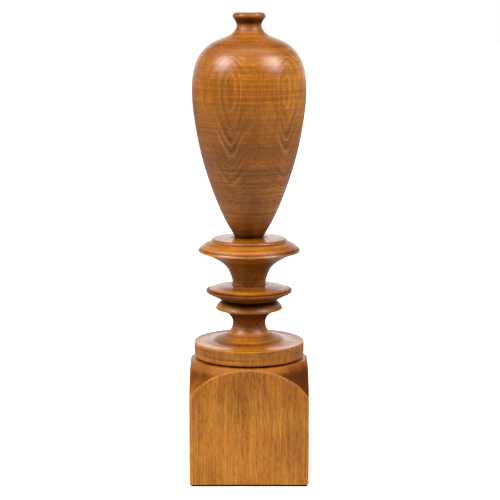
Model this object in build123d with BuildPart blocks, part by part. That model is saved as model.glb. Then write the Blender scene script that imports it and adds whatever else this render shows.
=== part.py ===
from build123d import *
import os

# Giant turned chess piece, about 0.6 m tall: a vase-shaped head on a collared
# stem, standing on a square block with a turned shoulder.
# Millimetres, +Z up. The origin is the centre of the pad's underside, on the
# turning axis. The front of the block faces -Y.

# ---------------------------------------------------------------- whole piece
BOARD = 76.0                        # planed 3 in stock: each section is two boards deep
SIDES = (("front", Keep.TOP), ("back", Keep.BOTTOM))

# ---------------------------------------------------------------- pad and block
PAD_THICKNESS = 2.4
PAD_INSET = 2.0                     # the pad stops short of the block's sides
BLOCK_WIDTH = 2 * BOARD
BLOCK_HEIGHT = 150.6
BLOCK_EDGE_RADIUS = 1.5             # eased arrises, the arches included
SHOULDER_ARC_RADIUS = 74.0          # convex turned shoulder
SHOULDER_ARC_CENTRE = 38.5          # distance of the arc's centre from the axis
SHOULDER_TOP_RADIUS = 72.6
BLOCK_RIM_ROUND = 2.4               # rounded edge round the block's top

# ---------------------------------------------------------------- lower stem
SHADOW_GAP = 2.1                    # recess that parts the disc from the block
SHADOW_GAP_RADIUS = 67.0
DISC_RADIUS = 71.0
DISC_HEIGHT = 20.1
DISC_LOWER_ROUND = 3.0
DISC_UPPER_ROUND = 1.0
STEM_HEIGHT = 71.9                  # disc underside to the groove under the ring

# ---------------------------------------------------------------- ring
RING_HEIGHT = 21.6
RING_RIM_RADIUS = 55.6
RING_SEAT_RADIUS = 21.8             # where the collar stands on the ring
GROOVE_RADIUS = 31.0                # deep groove between the bead and the ring
GROOVE_WIDTH = 1.8

# ---------------------------------------------------------------- collar
COLLAR_HEIGHT = 61.9
COLLAR_RIM_RADIUS = 65.7
COLLAR_TOP_RADIUS = 48.4
COLLAR_STEP = 3.7                   # height of the raised top disc at its rim
COLLAR_TOP_ROUND = 3.0
COLLAR_TOP_FALL = 1.5               # the top slopes down from the head to its rim
COLLAR_LEDGE_RADIUS = 50.2
TENON_RADIUS = 14.0                 # runs down through the ring into the stem
TENON_LENGTH = 38.6
TENON_END_GAP = 1.5

# ---------------------------------------------------------------- head
HEAD_HEIGHT = 286.5                 # collar top to lip top
HEAD_FOOT_RADIUS = 18.0
HEAD_SEAT_DEPTH = 4.0               # the foot is let into the collar
HEAD_WIDEST_RADIUS = 72.7
HEAD_NECK_RADIUS = 15.6
HEAD_LIP_RADIUS = 21.1

# ---------------------------------------------------------------- hardware, M12
ROD_RADIUS = 6.0
ROD_BORE_RADIUS = 6.5
ROD_END_CHAMFER = 1.2
ROD_PROJECTION = 5.6                # thread showing under the nut
THREAD_CLEARANCE = 0.05
NUT_ACROSS_FLATS = 19.0
NUT_HEIGHT = 10.8
WASHER_RADIUS = 16.0
WASHER_HOLE_RADIUS = 6.6
WASHER_THICKNESS = 3.0
COUNTERBORE_RADIUS = 18.0
COUNTERBORE_DEPTH = 26.0
INSERT_RADIUS = 9.0
INSERT_LENGTH = 30.0
INSERT_FLANGE_RADIUS = 11.5
INSERT_FLANGE_THICKNESS = 1.6
INSERT_HOLE_LENGTH = 40.0
ROD_ENGAGEMENT = 27.0               # length of rod inside the insert
DOWEL_RADIUS = 5.0
DOWEL_LENGTH = 50.0
DOWEL_IN_STEM = 14.0
DOWEL_CHAMFER = 1.0
DOWEL_END_GAP = 1.0
DOWEL_CIRCLE_RADIUS = 48.0
DOWEL_COUNT = 4

# ---------------------------------------------------------------- levels
BLOCK_TOP = PAD_THICKNESS + BLOCK_HEIGHT
DISC_BOTTOM = BLOCK_TOP + SHADOW_GAP
DISC_TOP = DISC_BOTTOM + DISC_HEIGHT
STEM_TOP = DISC_BOTTOM + STEM_HEIGHT
RING_TOP = STEM_TOP + RING_HEIGHT
COLLAR_TOP = RING_TOP + COLLAR_HEIGHT
HEAD_BOTTOM = COLLAR_TOP - HEAD_SEAT_DEPTH
HEAD_TOP = COLLAR_TOP + HEAD_HEIGHT
TENON_BOTTOM = RING_TOP - TENON_LENGTH
COUNTERBORE_TOP = PAD_THICKNESS + COUNTERBORE_DEPTH
WASHER_BOTTOM = COUNTERBORE_TOP - WASHER_THICKNESS
NUT_BOTTOM = WASHER_BOTTOM - NUT_HEIGHT
ROD_BOTTOM = NUT_BOTTOM - ROD_PROJECTION
ROD_TOP = HEAD_BOTTOM + ROD_ENGAGEMENT
DOWEL_TOP = BLOCK_TOP + DOWEL_IN_STEM
DOWEL_BOTTOM = DOWEL_TOP - DOWEL_LENGTH


def raised(stations, base):
    """(radius, height above a section's base) pairs as points on the profile plane."""
    return [(radius, base + height) for radius, height in stations]


def save(builder, name):
    """Label one finished piece and write it."""
    builder.part.label = name
    export_step(builder.part, f"parts/{name}.step")


def save_halves(section, name):
    """Saw a glued-up section along its front-to-back glue line into two boards."""
    for side, kept in SIDES:
        with BuildPart() as half:
            add(section.part)
            split(bisect_by=Plane.XZ, keep=kept)
        save(half, f"{name}_{side}_half")


# ---------------------------------------------------------------- base pad
PAD_WIDTH = BLOCK_WIDTH - 2 * PAD_INSET
with BuildPart() as base_pad:
    with BuildSketch():
        RectangleRounded(PAD_WIDTH, PAD_WIDTH, BLOCK_EDGE_RADIUS)
    extrude(amount=PAD_THICKNESS)
save(base_pad, "base_pad")

# ---------------------------------------------------------------- block
SHOULDER_CENTRE_LEVEL = BLOCK_TOP - (
    SHOULDER_ARC_RADIUS**2 - (SHOULDER_TOP_RADIUS - SHOULDER_ARC_CENTRE) ** 2
) ** 0.5
with BuildPart() as block:
    with BuildSketch(Plane.XY.offset(PAD_THICKNESS)):
        Rectangle(BLOCK_WIDTH, BLOCK_WIDTH)
    extrude(amount=BLOCK_HEIGHT)
    with BuildSketch(Plane.XZ):
        with BuildLine():
            top_edge = (SHOULDER_TOP_RADIUS, BLOCK_TOP)
            widest = (SHOULDER_ARC_CENTRE + SHOULDER_ARC_RADIUS, SHOULDER_CENTRE_LEVEL)
            Line((0, PAD_THICKNESS), (0, BLOCK_TOP))
            Line((0, BLOCK_TOP), top_edge)
            RadiusArc(top_edge, widest, SHOULDER_ARC_RADIUS)
            Line(widest, (widest[0], PAD_THICKNESS))
            Line((widest[0], PAD_THICKNESS), (0, PAD_THICKNESS))
        make_face()
    revolve(axis=Axis.Z, mode=Mode.INTERSECT)
    fillet(block.edges().filter_by(GeomType.CIRCLE, reverse=True), BLOCK_EDGE_RADIUS)
    fillet(block.edges().filter_by(GeomType.CIRCLE).sort_by(Axis.Z)[-1], BLOCK_RIM_ROUND)
    with Locations(Plane.XY.offset(BLOCK_TOP)):
        Hole(ROD_BORE_RADIUS)
        with PolarLocations(DOWEL_CIRCLE_RADIUS, DOWEL_COUNT, start_angle=45):
            Hole(DOWEL_RADIUS, depth=BLOCK_TOP - DOWEL_BOTTOM + DOWEL_END_GAP)
    with BuildSketch(Plane.XY.offset(PAD_THICKNESS)):
        Circle(COUNTERBORE_RADIUS)
    extrude(amount=COUNTERBORE_DEPTH, mode=Mode.SUBTRACT)
save_halves(block, "block")

# ---------------------------------------------------------------- lower stem
# Outline from the disc's top edge: flare, waist, cove, then the bead's
# underside, its rounded face and the groove beneath the ring.
FLARE = raised([(44.9, 21.4), (33.5, 26.2), (26.0, 31.5), (22.5, 37.1)], DISC_BOTTOM)
WAIST = (21.2, DISC_BOTTOM + 42.9)
COVE = raised([(22.5, 49.6), (26.6, 55.1), (35.3, 60.1)], DISC_BOTTOM)
BEAD_UNDERSIDE = (41.8, DISC_BOTTOM + 61.7)
BEAD_FACE = raised([(43.2, 62.9), (42.2, 65.3), (38.4, 69.9)], DISC_BOTTOM)
BEAD_TOP = (35.5, STEM_TOP)
with BuildPart() as stem:
    with BuildSketch(Plane.XZ):
        with BuildLine():
            Polyline(
                (0, STEM_TOP),
                (0, BLOCK_TOP),
                (SHADOW_GAP_RADIUS, BLOCK_TOP),
                (SHADOW_GAP_RADIUS, DISC_BOTTOM),
                (DISC_RADIUS, DISC_BOTTOM),
                (DISC_RADIUS, DISC_TOP),
            )
            Spline((DISC_RADIUS, DISC_TOP), *FLARE, WAIST, *COVE, BEAD_UNDERSIDE)
            Spline(BEAD_UNDERSIDE, *BEAD_FACE, BEAD_TOP)
            Line(BEAD_TOP, (0, STEM_TOP))
        make_face()
    revolve(axis=Axis.Z)
    disc_rims = stem.edges().filter_by(GeomType.CIRCLE).filter_by(
        lambda edge: abs(edge.radius - DISC_RADIUS) < DISC_UPPER_ROUND
    )
    fillet(disc_rims.sort_by(Axis.Z)[0], DISC_LOWER_ROUND)
    fillet(disc_rims.sort_by(Axis.Z)[-1], DISC_UPPER_ROUND)
    with Locations(Plane.XY.offset(STEM_TOP)):
        CounterBoreHole(
            ROD_BORE_RADIUS, TENON_RADIUS, STEM_TOP - TENON_BOTTOM + TENON_END_GAP
        )
    with BuildSketch(Plane.XY.offset(BLOCK_TOP)):
        with PolarLocations(DOWEL_CIRCLE_RADIUS, DOWEL_COUNT, start_angle=45):
            Circle(DOWEL_RADIUS)
    extrude(amount=DOWEL_IN_STEM + DOWEL_END_GAP, mode=Mode.SUBTRACT)
save_halves(stem, "stem")

# ---------------------------------------------------------------- ring
RING_NECK = (GROOVE_RADIUS, STEM_TOP + GROOVE_WIDTH)
RING_UNDERSIDE = raised([(37.8, 3.3), (46.1, 7.6), (52.7, 10.8)], STEM_TOP)
RING_RIM_FOOT = (55.3, STEM_TOP + 12.5)
RING_RIM = (RING_RIM_RADIUS, STEM_TOP + 14.9)
RING_CREASE = (53.8, STEM_TOP + 14.7)
RING_UPPER_FACE = raised([(52.2, 15.9), (45.0, 18.3), (33.0, 20.7)], STEM_TOP)
with BuildPart() as ring:
    with BuildSketch(Plane.XZ):
        with BuildLine():
            Line((TENON_RADIUS, RING_TOP), (TENON_RADIUS, STEM_TOP))
            Line((TENON_RADIUS, STEM_TOP), (GROOVE_RADIUS, STEM_TOP))
            Line((GROOVE_RADIUS, STEM_TOP), RING_NECK)
            Spline(RING_NECK, *RING_UNDERSIDE, RING_RIM_FOOT)
            Polyline(RING_RIM_FOOT, RING_RIM, RING_CREASE)
            Spline(RING_CREASE, *RING_UPPER_FACE, (RING_SEAT_RADIUS, RING_TOP))
            Line((RING_SEAT_RADIUS, RING_TOP), (TENON_RADIUS, RING_TOP))
        make_face()
    revolve(axis=Axis.Z)
save(ring, "ring")

# ---------------------------------------------------------------- collar
COLLAR_COVE = raised(
    [
        (21.6, 5.1),
        (23.9, 12.9),
        (27.4, 20.6),
        (33.9, 27.9),
        (43.2, 34.2),
        (52.8, 39.1),
        (60.3, 42.0),
    ],
    RING_TOP,
)
COLLAR_UNDERSIDE = (64.4, RING_TOP + 43.2)
COLLAR_RIM = (COLLAR_RIM_RADIUS, RING_TOP + 44.3)
COLLAR_OGEE = raised([(64.7, 46.3), (62.7, 48.8), (59.4, 51.5), (55.2, 54.0)], RING_TOP)
COLLAR_EDGE = (COLLAR_TOP_RADIUS, COLLAR_TOP - COLLAR_TOP_FALL)
COLLAR_LEDGE = (COLLAR_LEDGE_RADIUS, COLLAR_EDGE[1] - COLLAR_STEP)
with BuildPart() as collar:
    with BuildSketch(Plane.XZ):
        with BuildLine():
            Polyline(
                (0, COLLAR_TOP),
                (0, TENON_BOTTOM),
                (TENON_RADIUS, TENON_BOTTOM),
                (TENON_RADIUS, RING_TOP),
                (RING_SEAT_RADIUS, RING_TOP),
            )
            Spline((RING_SEAT_RADIUS, RING_TOP), *COLLAR_COVE, COLLAR_UNDERSIDE)
            Spline(COLLAR_UNDERSIDE, COLLAR_RIM, *COLLAR_OGEE, COLLAR_LEDGE)
            Polyline(
                COLLAR_LEDGE,
                (COLLAR_TOP_RADIUS, COLLAR_LEDGE[1]),
                COLLAR_EDGE,
                (HEAD_FOOT_RADIUS, COLLAR_TOP),
                (0, COLLAR_TOP),
            )
        make_face()
    revolve(axis=Axis.Z)
    top_edges = collar.edges().filter_by_position(Axis.Z, COLLAR_EDGE[1] - 0.1, COLLAR_EDGE[1] + 0.1)
    fillet(top_edges.filter_by(GeomType.CIRCLE), COLLAR_TOP_ROUND)
    with Locations(Plane.XY.offset(COLLAR_TOP)):
        CounterBoreHole(ROD_BORE_RADIUS, HEAD_FOOT_RADIUS, HEAD_SEAT_DEPTH)
save_halves(collar, "collar")

# ---------------------------------------------------------------- head
HEAD_FOOT = (HEAD_FOOT_RADIUS, COLLAR_TOP)
HEAD_FOOT_SLOPE = (1, 2)
HEAD_BODY = raised([(26.5, 14.8), (44.1, 53.5), (60.7, 105.2), (70.3, 156.0)], COLLAR_TOP)
HEAD_WIDEST = (HEAD_WIDEST_RADIUS, COLLAR_TOP + 188.3)
HEAD_SHOULDER = raised([(70.7, 213.5), (63.4, 232.6), (51.8, 245.0), (34.9, 253.9)], COLLAR_TOP)
HEAD_NECK = raised(
    [(22.8, 259.3), (17.3, 265.1), (HEAD_NECK_RADIUS, 270.5), (16.7, 274.5)], COLLAR_TOP
)
HEAD_LIP = raised([(19.8, 279.6), (HEAD_LIP_RADIUS, 282.5), (19.3, 285.4)], COLLAR_TOP)
HEAD_LIP_EDGE = (17.5, HEAD_TOP)
HEAD_LIP_SLOPE = (-2, 1)
UPRIGHT = (0, 1)
with BuildPart() as head:
    with BuildSketch(Plane.XZ):
        with BuildLine():
            Polyline((0, HEAD_TOP), (0, HEAD_BOTTOM), (HEAD_FOOT_RADIUS, HEAD_BOTTOM), HEAD_FOOT)
            Spline(HEAD_FOOT, *HEAD_BODY, HEAD_WIDEST, tangents=(HEAD_FOOT_SLOPE, UPRIGHT))
            Spline(
                HEAD_WIDEST,
                *HEAD_SHOULDER,
                *HEAD_NECK,
                *HEAD_LIP,
                HEAD_LIP_EDGE,
                tangents=(UPRIGHT, HEAD_LIP_SLOPE),
            )
            Line(HEAD_LIP_EDGE, (0, HEAD_TOP))
        make_face()
    revolve(axis=Axis.Z)
    with BuildSketch(Plane.XY.offset(HEAD_BOTTOM)):
        Circle(INSERT_RADIUS)
    extrude(amount=INSERT_HOLE_LENGTH, mode=Mode.SUBTRACT)
    with BuildSketch(Plane.XY.offset(HEAD_BOTTOM)):
        Circle(INSERT_FLANGE_RADIUS)
    extrude(amount=INSERT_FLANGE_THICKNESS, mode=Mode.SUBTRACT)
save_halves(head, "head")

# ---------------------------------------------------------------- head insert
with BuildPart() as head_insert:
    with BuildSketch(Plane.XY.offset(HEAD_BOTTOM)):
        Circle(INSERT_RADIUS)
    extrude(amount=INSERT_LENGTH)
    with BuildSketch(Plane.XY.offset(HEAD_BOTTOM)):
        Circle(INSERT_FLANGE_RADIUS)
    extrude(amount=INSERT_FLANGE_THICKNESS)
    with Locations(Plane.XY.offset(HEAD_BOTTOM + INSERT_LENGTH)):
        Hole(ROD_RADIUS + THREAD_CLEARANCE)
save(head_insert, "head_insert")

# ---------------------------------------------------------------- tie rod, nut and washer
with BuildPart() as tie_rod:
    with BuildSketch(Plane.XY.offset(ROD_BOTTOM)):
        Circle(ROD_RADIUS)
    extrude(amount=ROD_TOP - ROD_BOTTOM)
    chamfer(tie_rod.edges().filter_by(GeomType.CIRCLE), ROD_END_CHAMFER)
save(tie_rod, "tie_rod")

with BuildPart() as rod_nut:
    with BuildSketch(Plane.XY.offset(NUT_BOTTOM)):
        RegularPolygon(NUT_ACROSS_FLATS / 2, 6, major_radius=False)
        Circle(ROD_RADIUS + THREAD_CLEARANCE, mode=Mode.SUBTRACT)
    extrude(amount=NUT_HEIGHT)
save(rod_nut, "rod_nut")

with BuildPart() as rod_washer:
    with BuildSketch(Plane.XY.offset(WASHER_BOTTOM)):
        Circle(WASHER_RADIUS)
        Circle(WASHER_HOLE_RADIUS, mode=Mode.SUBTRACT)
    extrude(amount=WASHER_THICKNESS)
save(rod_washer, "rod_washer")

# ---------------------------------------------------------------- dowels between block and stem
with BuildPart() as block_dowels:
    with BuildSketch(Plane.XY.offset(DOWEL_BOTTOM)):
        with PolarLocations(DOWEL_CIRCLE_RADIUS, DOWEL_COUNT, start_angle=45):
            Circle(DOWEL_RADIUS)
    extrude(amount=DOWEL_LENGTH)
    chamfer(block_dowels.edges().filter_by(GeomType.CIRCLE), DOWEL_CHAMFER)
save(block_dowels, "block_dowels")
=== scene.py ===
import math

import bmesh
import bpy
import numpy as np
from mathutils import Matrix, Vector


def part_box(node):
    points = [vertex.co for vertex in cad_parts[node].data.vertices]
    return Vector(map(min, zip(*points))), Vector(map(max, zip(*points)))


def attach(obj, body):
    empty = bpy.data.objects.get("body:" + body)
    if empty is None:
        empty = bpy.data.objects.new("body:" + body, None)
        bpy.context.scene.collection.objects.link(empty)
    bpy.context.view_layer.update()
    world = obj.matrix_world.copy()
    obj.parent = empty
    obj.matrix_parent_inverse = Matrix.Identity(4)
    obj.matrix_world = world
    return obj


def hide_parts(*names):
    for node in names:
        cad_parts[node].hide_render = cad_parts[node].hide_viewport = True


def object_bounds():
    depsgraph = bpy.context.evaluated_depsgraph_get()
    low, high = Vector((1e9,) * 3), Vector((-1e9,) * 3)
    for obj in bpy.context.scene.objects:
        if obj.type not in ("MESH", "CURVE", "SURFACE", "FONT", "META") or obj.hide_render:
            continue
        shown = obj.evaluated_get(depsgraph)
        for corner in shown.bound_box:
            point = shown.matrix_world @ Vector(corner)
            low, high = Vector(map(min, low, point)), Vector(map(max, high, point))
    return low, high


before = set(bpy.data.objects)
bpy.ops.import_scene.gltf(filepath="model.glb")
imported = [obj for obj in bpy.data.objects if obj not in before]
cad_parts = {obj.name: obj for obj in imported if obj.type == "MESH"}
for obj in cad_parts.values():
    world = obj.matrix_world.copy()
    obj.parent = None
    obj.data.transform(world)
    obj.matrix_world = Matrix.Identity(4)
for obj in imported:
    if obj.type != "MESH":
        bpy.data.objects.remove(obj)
cad_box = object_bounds()

# ---------------------------------------------------------------- sizes, metres
MM = 0.001
ROW_SPACING = 0.8 * MM              # mesh rows along a curved outline
FLAT_SPACING = 6.0 * MM             # mesh rows along a straight stretch
HALF_TURN_STEPS = 168               # mesh columns round half a turn
CORNER_ANGLE = math.radians(14)     # a sharper turn than this is a real corner
SHARP_ANGLE = math.radians(40)
RIDGE_DEPTH = 0.025 * MM            # turning marks left by the gouge
RIDGE_PITCH = 2.9 * MM
CELL = 0.4 * MM                     # grid used to find edges and recesses
FINE_BLUR = 1.4 * MM
RECESS_REACH = 24.0 * MM            # how far off other wood still shades a surface
RECESS_RAYS = 15
BLOCK_SPACING = 1.0 * MM            # mesh spacing on the block
SHOULDER_RADIUS = 74.0 * MM         # arc that the lathe cut across the corners
SHOULDER_CENTRE = 38.5 * MM         # distance of that arc's centre from the axis
SHOULDER_TOP = 72.6 * MM            # radius where the shoulders reach the top
ARRIS = 1.5 * MM                    # rounding of the block's edges
ARRIS_BLEND = 2.6 * MM
TOP_ROUND = 1.2 * MM
DOWEL_RADIUS = 5.0 * MM
DOWEL_CIRCLE = 48.0 * MM
CAMERA_DISTANCE = 2.21
CAMERA_HEIGHT = 0.6545
CAMERA_SIDE = 0.00116
CAMERA_PITCH = 0.162
CAMERA_LENS = 125.1
CAMERA_SENSOR = 36.0


# ---------------------------------------------------------------- outlines read from the CAD nodes
def section_loops(node):
    """The closed outlines of a node's section on the X-Z plane, as arrays of (x, z)."""
    bm = bmesh.new()
    bm.from_mesh(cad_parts[node].data)
    bmesh.ops.remove_doubles(bm, verts=bm.verts, dist=1e-7)
    low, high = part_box(node)
    if high.y < 1e-5:
        cut = -1e-6
    elif low.y > -1e-5:
        cut = 1e-6
    else:
        cut = 0.0
    geometry = list(bm.verts) + list(bm.edges) + list(bm.faces)
    found = bmesh.ops.bisect_plane(
        bm, geom=geometry, dist=1e-8, plane_co=(0, cut, 0), plane_no=(0, 1, 0)
    )["geom_cut"]
    links = {}
    for edge in found:
        if isinstance(edge, bmesh.types.BMEdge):
            a, b = edge.verts
            links.setdefault(a, set()).add(b)
            links.setdefault(b, set()).add(a)
    loops = []
    unused = set(links)
    while unused:
        first = unused.pop()
        loop = [first]
        while True:
            onward = [v for v in links[loop[-1]] if v in unused]
            if not onward:
                break
            unused.discard(onward[0])
            loop.append(onward[0])
        loops.append(np.array([(v.co.x, v.co.z) for v in loop]))
    bm.free()
    return loops


def right_half(loop):
    """The part of a loop on the +X side, as one chain whose ends lie on the axis, or the loop itself."""
    if loop[:, 0].min() > 0:
        return loop, True
    inside = loop[:, 0] > 1e-7
    start = next(i for i in range(len(loop)) if inside[i] and not inside[i - 1])
    chain = np.roll(loop, -start, axis=0)
    kept = chain[np.roll(inside, -start)]
    first = (0.0, kept[0][1])
    last = (0.0, kept[-1][1])
    return np.vstack([first, kept, last]), False


def outline_of(node):
    """(points, closed) of the +X half of a node's section."""
    loops = [loop for loop in section_loops(node) if loop[:, 0].max() > 1e-4 and len(loop) > 8]
    loops.sort(key=lambda loop: -(np.ptp(loop[:, 0]) * np.ptp(loop[:, 1])) + (loop[:, 0].mean() < 0))
    return right_half(loops[0])


def corners_of(points, closed):
    """Indexes of the points where an outline turns a real corner."""
    before = np.roll(points, 1, axis=0)
    after = np.roll(points, -1, axis=0)
    a = points - before
    b = after - points
    turn = np.abs(np.arctan2(a[:, 0] * b[:, 1] - a[:, 1] * b[:, 0], (a * b).sum(1)))
    marked = turn > CORNER_ANGLE
    if not closed:
        marked[0] = marked[-1] = True
    return np.flatnonzero(marked)


def smooth_run(run, spacing):
    """A run between corners, resampled evenly along a smooth curve through its points."""
    steps = np.hypot(*np.diff(run, axis=0).T)
    along = np.concatenate([[0], np.cumsum(steps)])
    total = along[-1]
    straight = np.hypot(*(run[-1] - run[0])) > total * (1 - 1e-6)
    count = max(1, int(math.ceil(total / (FLAT_SPACING if straight else spacing))))
    wanted = np.linspace(0, total, count + 1)
    if straight or len(run) < 4:
        return np.stack([np.interp(wanted, along, run[:, k]) for k in (0, 1)], 1)
    slope = np.gradient(run, along, axis=0)
    piece = np.clip(np.searchsorted(along, wanted, side="right") - 1, 0, len(run) - 2)
    width = steps[piece][:, None]
    t = ((wanted - along[piece])[:, None]) / width
    return (
        (2 * t**3 - 3 * t**2 + 1) * run[piece]
        + (t**3 - 2 * t**2 + t) * width * slope[piece]
        + (3 * t**2 - 2 * t**3) * run[piece + 1]
        + (t**3 - t**2) * width * slope[piece + 1]
    )


def resample(points, closed, spacing=ROW_SPACING):
    """An outline with even, smooth rows that keeps its corners."""
    keep = np.ones(len(points), bool)
    gaps = np.hypot(*(points - np.roll(points, 1, axis=0)).T)
    keep[gaps < 2e-6] = False
    points = points[keep]
    marked = corners_of(points, closed)
    if closed:
        points = np.roll(points, -marked[0], axis=0)
        marked = marked - marked[0]
        points = np.vstack([points, points[:1]])
        marked = np.append(marked, len(points) - 1)
    runs = [smooth_run(points[a : b + 1], spacing) for a, b in zip(marked[:-1], marked[1:])]
    return np.vstack([run[:-1] for run in runs] + ([] if closed else [runs[-1][-1:]]))


def blurred(grid, reach):
    """A grid smoothed with a Gaussian of the given reach in metres."""
    sigma = reach / CELL
    taps = np.arange(-int(3 * sigma), int(3 * sigma) + 1)
    kernel = np.exp(-0.5 * (taps / sigma) ** 2)
    kernel /= kernel.sum()
    for axis in (0, 1):
        grid = np.apply_along_axis(np.convolve, axis, grid, kernel, "same")
    return grid


class Solidity:
    """How much wood surrounds a point of the section, close by and as seen from its surface."""

    def __init__(self, outlines):
        self.low = np.array([-0.10, -0.03])
        size = np.array([0.20, cad_box[1].z + 0.06])
        across, up = (int(n) for n in np.ceil(size / CELL))
        solid = np.zeros((across, up))
        heights = self.low[1] + (np.arange(up) + 0.5) * CELL
        for points in outlines:
            after = np.roll(points, -1, axis=0)
            for row, z in enumerate(heights):
                hit = (points[:, 1] > z) != (after[:, 1] > z)
                p, q = points[hit], after[hit]
                x = np.sort(p[:, 0] + (z - p[:, 1]) * (q[:, 0] - p[:, 0]) / (q[:, 1] - p[:, 1]))
                for start, stop in zip(x[0::2], x[1::2]):
                    for left, right in ((start, stop), (-stop, -start)):
                        first = int(round((left - self.low[0]) / CELL))
                        last = int(round((right - self.low[0]) / CELL))
                        solid[first:last, row] = 1
        self.fine = blurred(solid, FINE_BLUR)
        self.solid = solid

    def sample(self, grid, points):
        place = np.clip((points - self.low) / CELL - 0.5, 0, np.array(grid.shape) - 2)
        cell = place.astype(int)
        u, v = (place - cell).T
        i, j = cell.T
        lower = grid[i, j] * (1 - u) + grid[i + 1, j] * u
        upper = grid[i, j + 1] * (1 - u) + grid[i + 1, j + 1] * u
        return lower * (1 - v) + upper * v

    def edge_mark(self, points):
        return 1 - 2 * self.sample(self.fine, points)

    def recess_shade(self, points):
        """The share of the view from each point that nearby wood blocks, 0 to 1."""
        before, after = np.roll(points, 1, axis=0), np.roll(points, -1, axis=0)
        x, z = points.T
        area = (x * np.roll(z, -1) - np.roll(x, -1) * z).sum()
        tangent = (after - before) * np.sign(area)
        normal = np.stack([tangent[:, 1], -tangent[:, 0]], 1)
        normal /= np.maximum(np.hypot(*normal.T), 1e-9)[:, None]
        facing = np.arctan2(normal[:, 1], normal[:, 0])
        blocked = np.zeros(len(points))
        total = 0.0
        for turn in np.radians(np.linspace(-80, 80, RECESS_RAYS)):
            ray = np.stack([np.cos(facing + turn), np.sin(facing + turn)], 1)
            free = np.full(len(points), RECESS_REACH)
            for distance in np.arange(RECESS_REACH, 2.5 * CELL, -2 * CELL):
                there = points + normal * 1.5 * CELL + ray * distance
                free = np.where(self.sample(self.solid, there) > 0.5, distance, free)
            weight = math.cos(turn)
            blocked += weight * (1 - free / RECESS_REACH)
            total += weight
        return blocked / total


def write_marks(mesh, edge_mark, recess_shade, stain_and_painted_shading):
    """Stores the edge, recess and extra stain and painted light and shade values on the vertices for the
    materials.
    """
    for name, values in (("edge_mark", edge_mark), ("recess_shade", recess_shade), ("stain_and_painted_shading", stain_and_painted_shading)):
        mark = mesh.attributes.new(name, "FLOAT", "POINT")
        mark.data.foreach_set("value", values.astype(np.float32))


# ---------------------------------------------------------------- turned pieces
def ridges(radius, height, angle):
    """Shallow rings and a slight wander left on a turned surface, as a change of radius."""
    wander = 0.35 * np.sin(angle * 3 + height * 130) + 0.25 * np.sin(angle * 5 - height * 71)
    fine = np.sin(2 * math.pi * height / RIDGE_PITCH + angle * 0.5 + wander)
    coarse = np.sin(2 * math.pi * height / (RIDGE_PITCH * 3.7) + 1.3 + wander * 0.5)
    return RIDGE_DEPTH * (fine + 0.8 * coarse) * (radius > 15 * MM)


def stain_and_painted_shading_at(heights, stains_and_painted_shading):
    """Extra stain and painted light and shade at some heights, from (height, half width, amount) rows in mm;
    a negative amount lightens.
    """
    total = np.zeros(len(heights))
    for height, half_width, amount in stains_and_painted_shading:
        total += amount * np.exp(-(((heights / MM - height) / half_width) ** 2))
    return total


def turned(name, outline, first_angle, last_angle, steps, stains_and_painted_shading=()):
    """A closed turned solid with the given outline, swept between two angles."""
    points, closed = outline
    rows = len(points)
    whole = abs(last_angle - first_angle) > 2 * math.pi - 1e-6
    columns = steps if whole else steps + 1
    angles = first_angle + (last_angle - first_angle) * np.arange(columns) / steps
    radius = np.repeat(points[None, :, 0], columns, 0)
    height = np.repeat(points[None, :, 1], columns, 0)
    angle = np.repeat(angles[:, None], rows, 1)
    moved = radius + np.where(radius > 0, ridges(radius, height, angle), 0)
    co = np.stack([moved * np.cos(angle), moved * np.sin(angle), height], -1).reshape(-1, 3)
    faces = []
    spans = rows if closed else rows - 1
    for j in range(steps):
        here = j * rows
        there = ((j + 1) % columns) * rows
        for i in range(spans):
            k = (i + 1) % rows
            faces.append((here + i, here + k, there + k, there + i))
    if not whole:
        faces.append(tuple(range(rows)))
        faces.append(tuple(steps * rows + i for i in reversed(range(rows))))
    mesh = bpy.data.meshes.new(name)
    mesh.from_pydata(co.tolist(), [], faces)
    marks = (solidity.edge_mark(points), solidity.recess_shade(points), stain_and_painted_shading_at(points[:, 1], stains_and_painted_shading))
    write_marks(mesh, *(np.tile(mark, columns) for mark in marks))
    return closed_piece(name, mesh)


def closed_piece(name, mesh):
    """An object with a clean, closed, smooth-shaded copy of a mesh that was just made."""
    bm = bmesh.new()
    bm.from_mesh(mesh)
    bmesh.ops.remove_doubles(bm, verts=bm.verts, dist=1e-8)
    bmesh.ops.dissolve_degenerate(bm, dist=1e-9, edges=bm.edges)
    bmesh.ops.recalc_face_normals(bm, faces=bm.faces)
    bmesh.ops.triangulate(bm, faces=[f for f in bm.faces if len(f.verts) > 4])
    bm.to_mesh(mesh)
    bm.free()
    mesh.shade_smooth()
    mesh.set_sharp_from_angle(angle=SHARP_ANGLE)
    piece = bpy.data.objects.new(name, mesh)
    bpy.context.scene.collection.objects.link(piece)
    return piece


# ---------------------------------------------------------------- the block
def square_edge(half_size, first, last):
    """Points round a square with rounded corners, anticlockwise between two angles."""
    inner = half_size - ARRIS
    walk = []
    for quarter in range(8):
        turn = quarter * math.pi / 2
        flat = np.linspace(-inner, inner, int(2 * inner / BLOCK_SPACING) + 1)
        side = np.stack([np.full(len(flat), half_size), flat], 1)
        bend = np.linspace(0, math.pi / 2, 8)[1:-1]
        corner = np.stack([inner + ARRIS * np.cos(bend), inner + ARRIS * np.sin(bend)], 1)
        points = np.vstack([side, corner])
        c, d = math.cos(turn), math.sin(turn)
        walk.append(points @ np.array([[c, d], [-d, c]]))
    walk = np.vstack(walk)
    angle = np.unwrap(np.arctan2(walk[:, 1], walk[:, 0]))
    reach = np.hypot(*walk.T)
    inside = (angle > first + 1e-6) & (angle < last - 1e-6)
    angles = np.concatenate([[first], angle[inside], [last]])
    return angles, np.concatenate([[half_size], reach[inside], [half_size]])


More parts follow.
